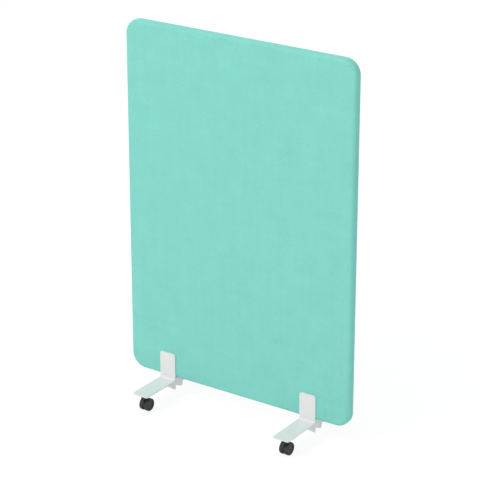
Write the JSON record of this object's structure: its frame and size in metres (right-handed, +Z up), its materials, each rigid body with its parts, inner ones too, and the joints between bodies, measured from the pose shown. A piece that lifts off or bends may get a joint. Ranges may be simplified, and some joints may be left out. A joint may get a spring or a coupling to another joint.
{
  "type": "mobile acoustic divider screen",
  "caption": "Free-standing upholstered divider screen with rounded corners, clamped between bent steel feet on twin-wheel swivel castors.",
  "frame": {"origin": "on the floor, under the middle of the panel", "axes": "+X along the panel's width, to the right seen from the front; +Y from the front to the rear; +Z up"},
  "size_m": [1, 0.414, 1.5],
  "materials": {
    "fabric": "matte woven felt",
    "felt": "matte",
    "timber": "sawn",
    "core_wool": "fibrous",
    "white_steel": "fine powder coat",
    "zinc_steel": "zinc plated",
    "nylon": "moulded",
    "tread": "matte"
  },
  "bodies": {
    "screen": {"left_stile": "timber", "right_stile": "timber", "top_rail": "timber", "bottom_rail": "timber", "middle_rail": "timber", "top_left_corner": "timber", "top_right_corner": "timber", "bottom_left_corner": "timber", "bottom_right_corner": "timber", "left_mounting_block": "timber", "right_mounting_block": "timber", "upper_core": "core_wool", "lower_core": "core_wool", "front_padding": "felt", "rear_padding": "felt", "front_cover": "fabric", "rear_cover": "fabric", "clamp_sleeves": "zinc_steel", "left_front_bracket": "white_steel", "left_rear_bracket": "white_steel", "right_front_bracket": "white_steel", "right_rear_bracket": "white_steel", "left_yoke": "white_steel", "right_yoke": "white_steel", "left_clamp_bolts": "zinc_steel", "right_clamp_bolts": "zinc_steel", "clamp_washers": "zinc_steel", "yoke_screws": "white_steel", "yoke_nuts": "zinc_steel", "front_left_stem": "zinc_steel", "front_right_stem": "zinc_steel", "rear_left_stem": "zinc_steel", "rear_right_stem": "zinc_steel"},
    "front_left_swivel": {"front_left_housing": "nylon", "front_left_axle": "zinc_steel"},
    "front_left_inner_roller": {"front_left_inner_wheel": "nylon", "front_left_inner_tyre": "tread"},
    "front_left_outer_roller": {"front_left_outer_wheel": "nylon", "front_left_outer_tyre": "tread"},
    "front_right_swivel": {"front_right_housing": "nylon", "front_right_axle": "zinc_steel"},
    "front_right_inner_roller": {"front_right_inner_wheel": "nylon", "front_right_inner_tyre": "tread"},
    "front_right_outer_roller": {"front_right_outer_wheel": "nylon", "front_right_outer_tyre": "tread"},
    "rear_left_swivel": {"rear_left_housing": "nylon", "rear_left_axle": "zinc_steel"},
    "rear_left_inner_roller": {"rear_left_inner_wheel": "nylon", "rear_left_inner_tyre": "tread"},
    "rear_left_outer_roller": {"rear_left_outer_wheel": "nylon", "rear_left_outer_tyre": "tread"},
    "rear_right_swivel": {"rear_right_housing": "nylon", "rear_right_axle": "zinc_steel"},
    "rear_right_inner_roller": {"rear_right_inner_wheel": "nylon", "rear_right_inner_tyre": "tread"},
    "rear_right_outer_roller": {"rear_right_outer_wheel": "nylon", "rear_right_outer_tyre": "tread"}
  },
  "joints": [
    {"name": "front_left_swivel_turn", "type": "hinge", "parent": "screen", "child": "front_left_swivel", "pos_m": [-0.322, -0.181, 0.06], "axis": [0, 0, 1], "continuous": true},
    {"name": "front_left_inner_roll", "type": "hinge", "parent": "front_left_swivel", "child": "front_left_inner_roller", "pos_m": [-0.31075, -0.163, 0.025], "axis": [1, 0, 0], "continuous": true},
    {"name": "front_left_outer_roll", "type": "hinge", "parent": "front_left_swivel", "child": "front_left_outer_roller", "pos_m": [-0.33325, -0.163, 0.025], "axis": [1, 0, 0], "continuous": true},
    {"name": "front_right_swivel_turn", "type": "hinge", "parent": "screen", "child": "front_right_swivel", "pos_m": [0.322, -0.181, 0.06], "axis": [0, 0, 1], "continuous": true},
    {"name": "front_right_inner_roll", "type": "hinge", "parent": "front_right_swivel", "child": "front_right_inner_roller", "pos_m": [0.31075, -0.163, 0.025], "axis": [1, 0, 0], "continuous": true},
    {"name": "front_right_outer_roll", "type": "hinge", "parent": "front_right_swivel", "child": "front_right_outer_roller", "pos_m": [0.33325, -0.163, 0.025], "axis": [1, 0, 0], "continuous": true},
    {"name": "rear_left_swivel_turn", "type": "hinge", "parent": "screen", "child": "rear_left_swivel", "pos_m": [-0.322, 0.181, 0.06], "axis": [0, 0, 1], "continuous": true},
    {"name": "rear_left_inner_roll", "type": "hinge", "parent": "rear_left_swivel", "child": "rear_left_inner_roller", "pos_m": [-0.31075, 0.163, 0.025], "axis": [1, 0, 0], "continuous": true},
    {"name": "rear_left_outer_roll", "type": "hinge", "parent": "rear_left_swivel", "child": "rear_left_outer_roller", "pos_m": [-0.33325, 0.163, 0.025], "axis": [1, 0, 0], "continuous": true},
    {"name": "rear_right_swivel_turn", "type": "hinge", "parent": "screen", "child": "rear_right_swivel", "pos_m": [0.322, 0.181, 0.06], "axis": [0, 0, 1], "continuous": true},
    {"name": "rear_right_inner_roll", "type": "hinge", "parent": "rear_right_swivel", "child": "rear_right_inner_roller", "pos_m": [0.31075, 0.163, 0.025], "axis": [1, 0, 0], "continuous": true},
    {"name": "rear_right_outer_roll", "type": "hinge", "parent": "rear_right_swivel", "child": "rear_right_outer_roller", "pos_m": [0.33325, 0.163, 0.025], "axis": [1, 0, 0], "continuous": true}
  ]
}
